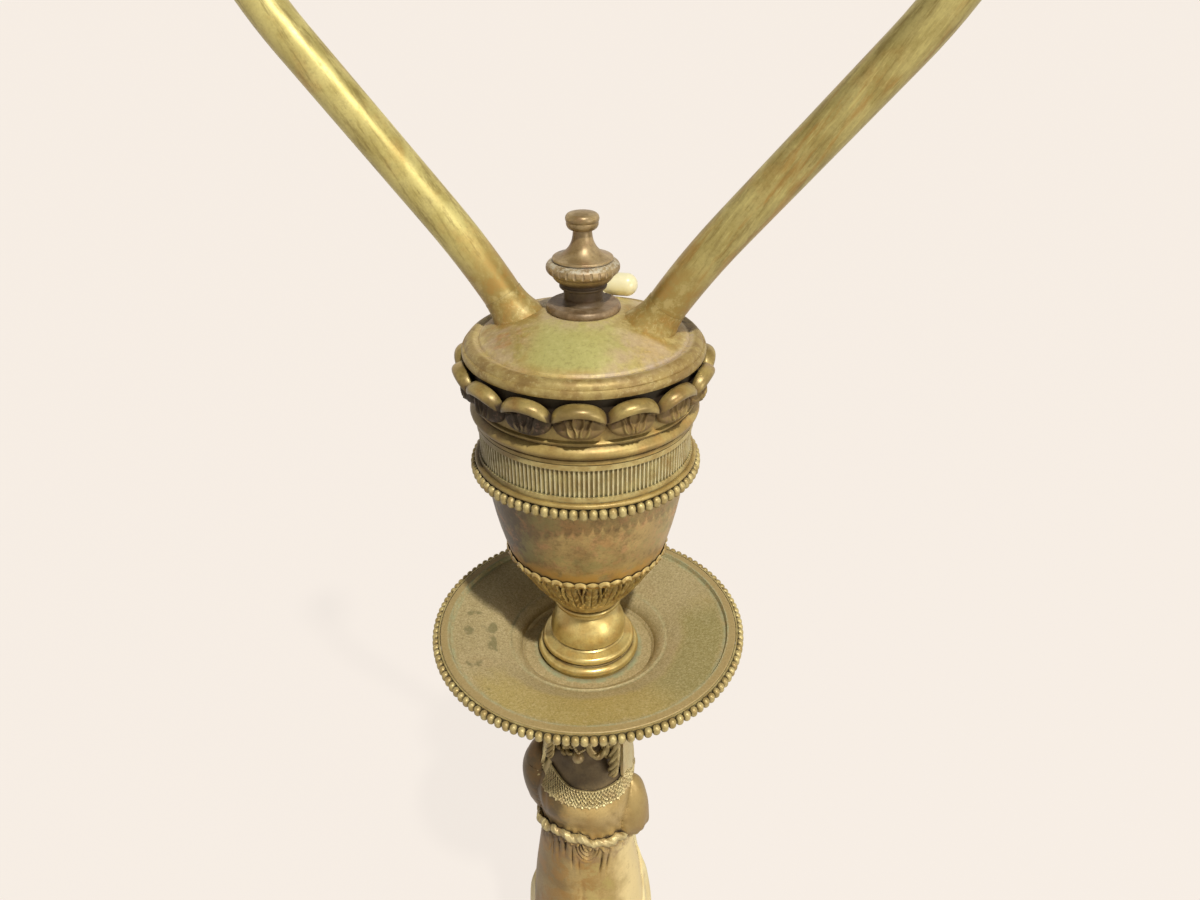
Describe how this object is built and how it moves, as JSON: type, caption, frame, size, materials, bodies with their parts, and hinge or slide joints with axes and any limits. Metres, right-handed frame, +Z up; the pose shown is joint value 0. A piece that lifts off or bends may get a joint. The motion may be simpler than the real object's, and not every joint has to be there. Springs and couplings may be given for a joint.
{
  "type": "figural table lamp",
  "caption": "Table lamp with a draped standing figure on a stepped round base, carrying a beaded pan and a lidded urn with two swept tube arms, open lamp holders and a rotary switch.",
  "frame": {"origin": "centre of the felt underside, on the table", "axes": "+Z up along the centre pipe; the figure faces -Y; the two arms lie along -X and +X; the switch is on the +Y side of the lid"},
  "size_m": [0.2652, 0.15, 0.6579],
  "materials": {
    "gilt_brass": "aged gilt lacquer over brass, olive-gold with worn patches",
    "urn_brass": "aged gilt brass, mottled brown and pink",
    "pan_brass": "dull sandy brass with grey bloom",
    "neck_brass": "polished yellow brass, worn",
    "dark_bronze": "dark brown patinated bronze",
    "figure_bronze": "gilt bronze casting with brown shade in the hollows",
    "steel": "plain zinc-plated steel",
    "iron": "raw casting",
    "felt": "green baize",
    "ivory_plastic": "ivory-coloured moulding, slightly yellowed",
    "black_bakelite": "black phenolic moulding",
    "porcelain": "white glazed porcelain",
    "liner_paper": "brown fibre",
    "lead_cover": "brown cloth-covered rubber"
  },
  "bodies": {
    "lamp": {"felt_pad": "felt", "base_plate": "steel", "base_weight": "iron", "base_foot": "gilt_brass", "base_bead_ring": "gilt_brass", "cord_bushing": "black_bakelite", "base_riser": "gilt_brass", "base_drum": "gilt_brass", "base_cap": "gilt_brass", "centre_pipe": "steel", "pipe_washers": "steel", "lock_nuts": "steel", "figure_skirt": "figure_bronze", "figure_bodice": "figure_bronze", "figure_girdle": "figure_bronze", "figure_head": "figure_bronze", "figure_arm_left": "figure_bronze", "figure_arm_right": "figure_bronze", "figure_pendant": "figure_bronze", "figure_braids": "figure_bronze", "figure_mantle": "figure_bronze", "head_cushion": "figure_bronze", "pan": "pan_brass", "pan_bead_rim": "pan_brass", "baluster": "neck_brass", "urn_calyx": "urn_brass", "urn_cup": "urn_brass", "urn_ledge": "urn_brass", "urn_bead_ring": "urn_brass", "urn_frieze": "urn_brass", "urn_gallery": "gilt_brass", "lid": "gilt_brass", "finial_seat": "gilt_brass", "finial": "dark_bronze", "finial_stud": "steel", "hickey": "steel", "arm_nipples": "neck_brass", "switch_body": "black_bakelite", "switch_bushing": "neck_brass", "switch_nut": "dark_bronze", "wire_connectors": "black_bakelite", "supply_leads": "lead_cover", "arm_leads": "lead_cover", "arm_left": "gilt_brass", "arm_right": "gilt_brass", "holder_cap_left": "gilt_brass", "holder_shell_left": "gilt_brass", "holder_liner_left": "liner_paper", "holder_base_left": "porcelain", "screw_shell_left": "neck_brass", "centre_contact_left": "neck_brass", "holder_cap_right": "gilt_brass", "holder_shell_right": "gilt_brass", "holder_liner_right": "liner_paper", "holder_base_right": "porcelain", "screw_shell_right": "neck_brass", "centre_contact_right": "neck_brass"},
    "switch_rotor": {"switch_knob": "ivory_plastic", "switch_shaft": "neck_brass", "switch_cam": "black_bakelite"}
  },
  "joints": [
    {"name": "switch_turn", "type": "hinge", "parent": "lamp", "child": "switch_rotor", "pos_m": [0, 0.025, 0.43876], "axis": [0, 0.3521, 0.936], "continuous": true}
  ]
}
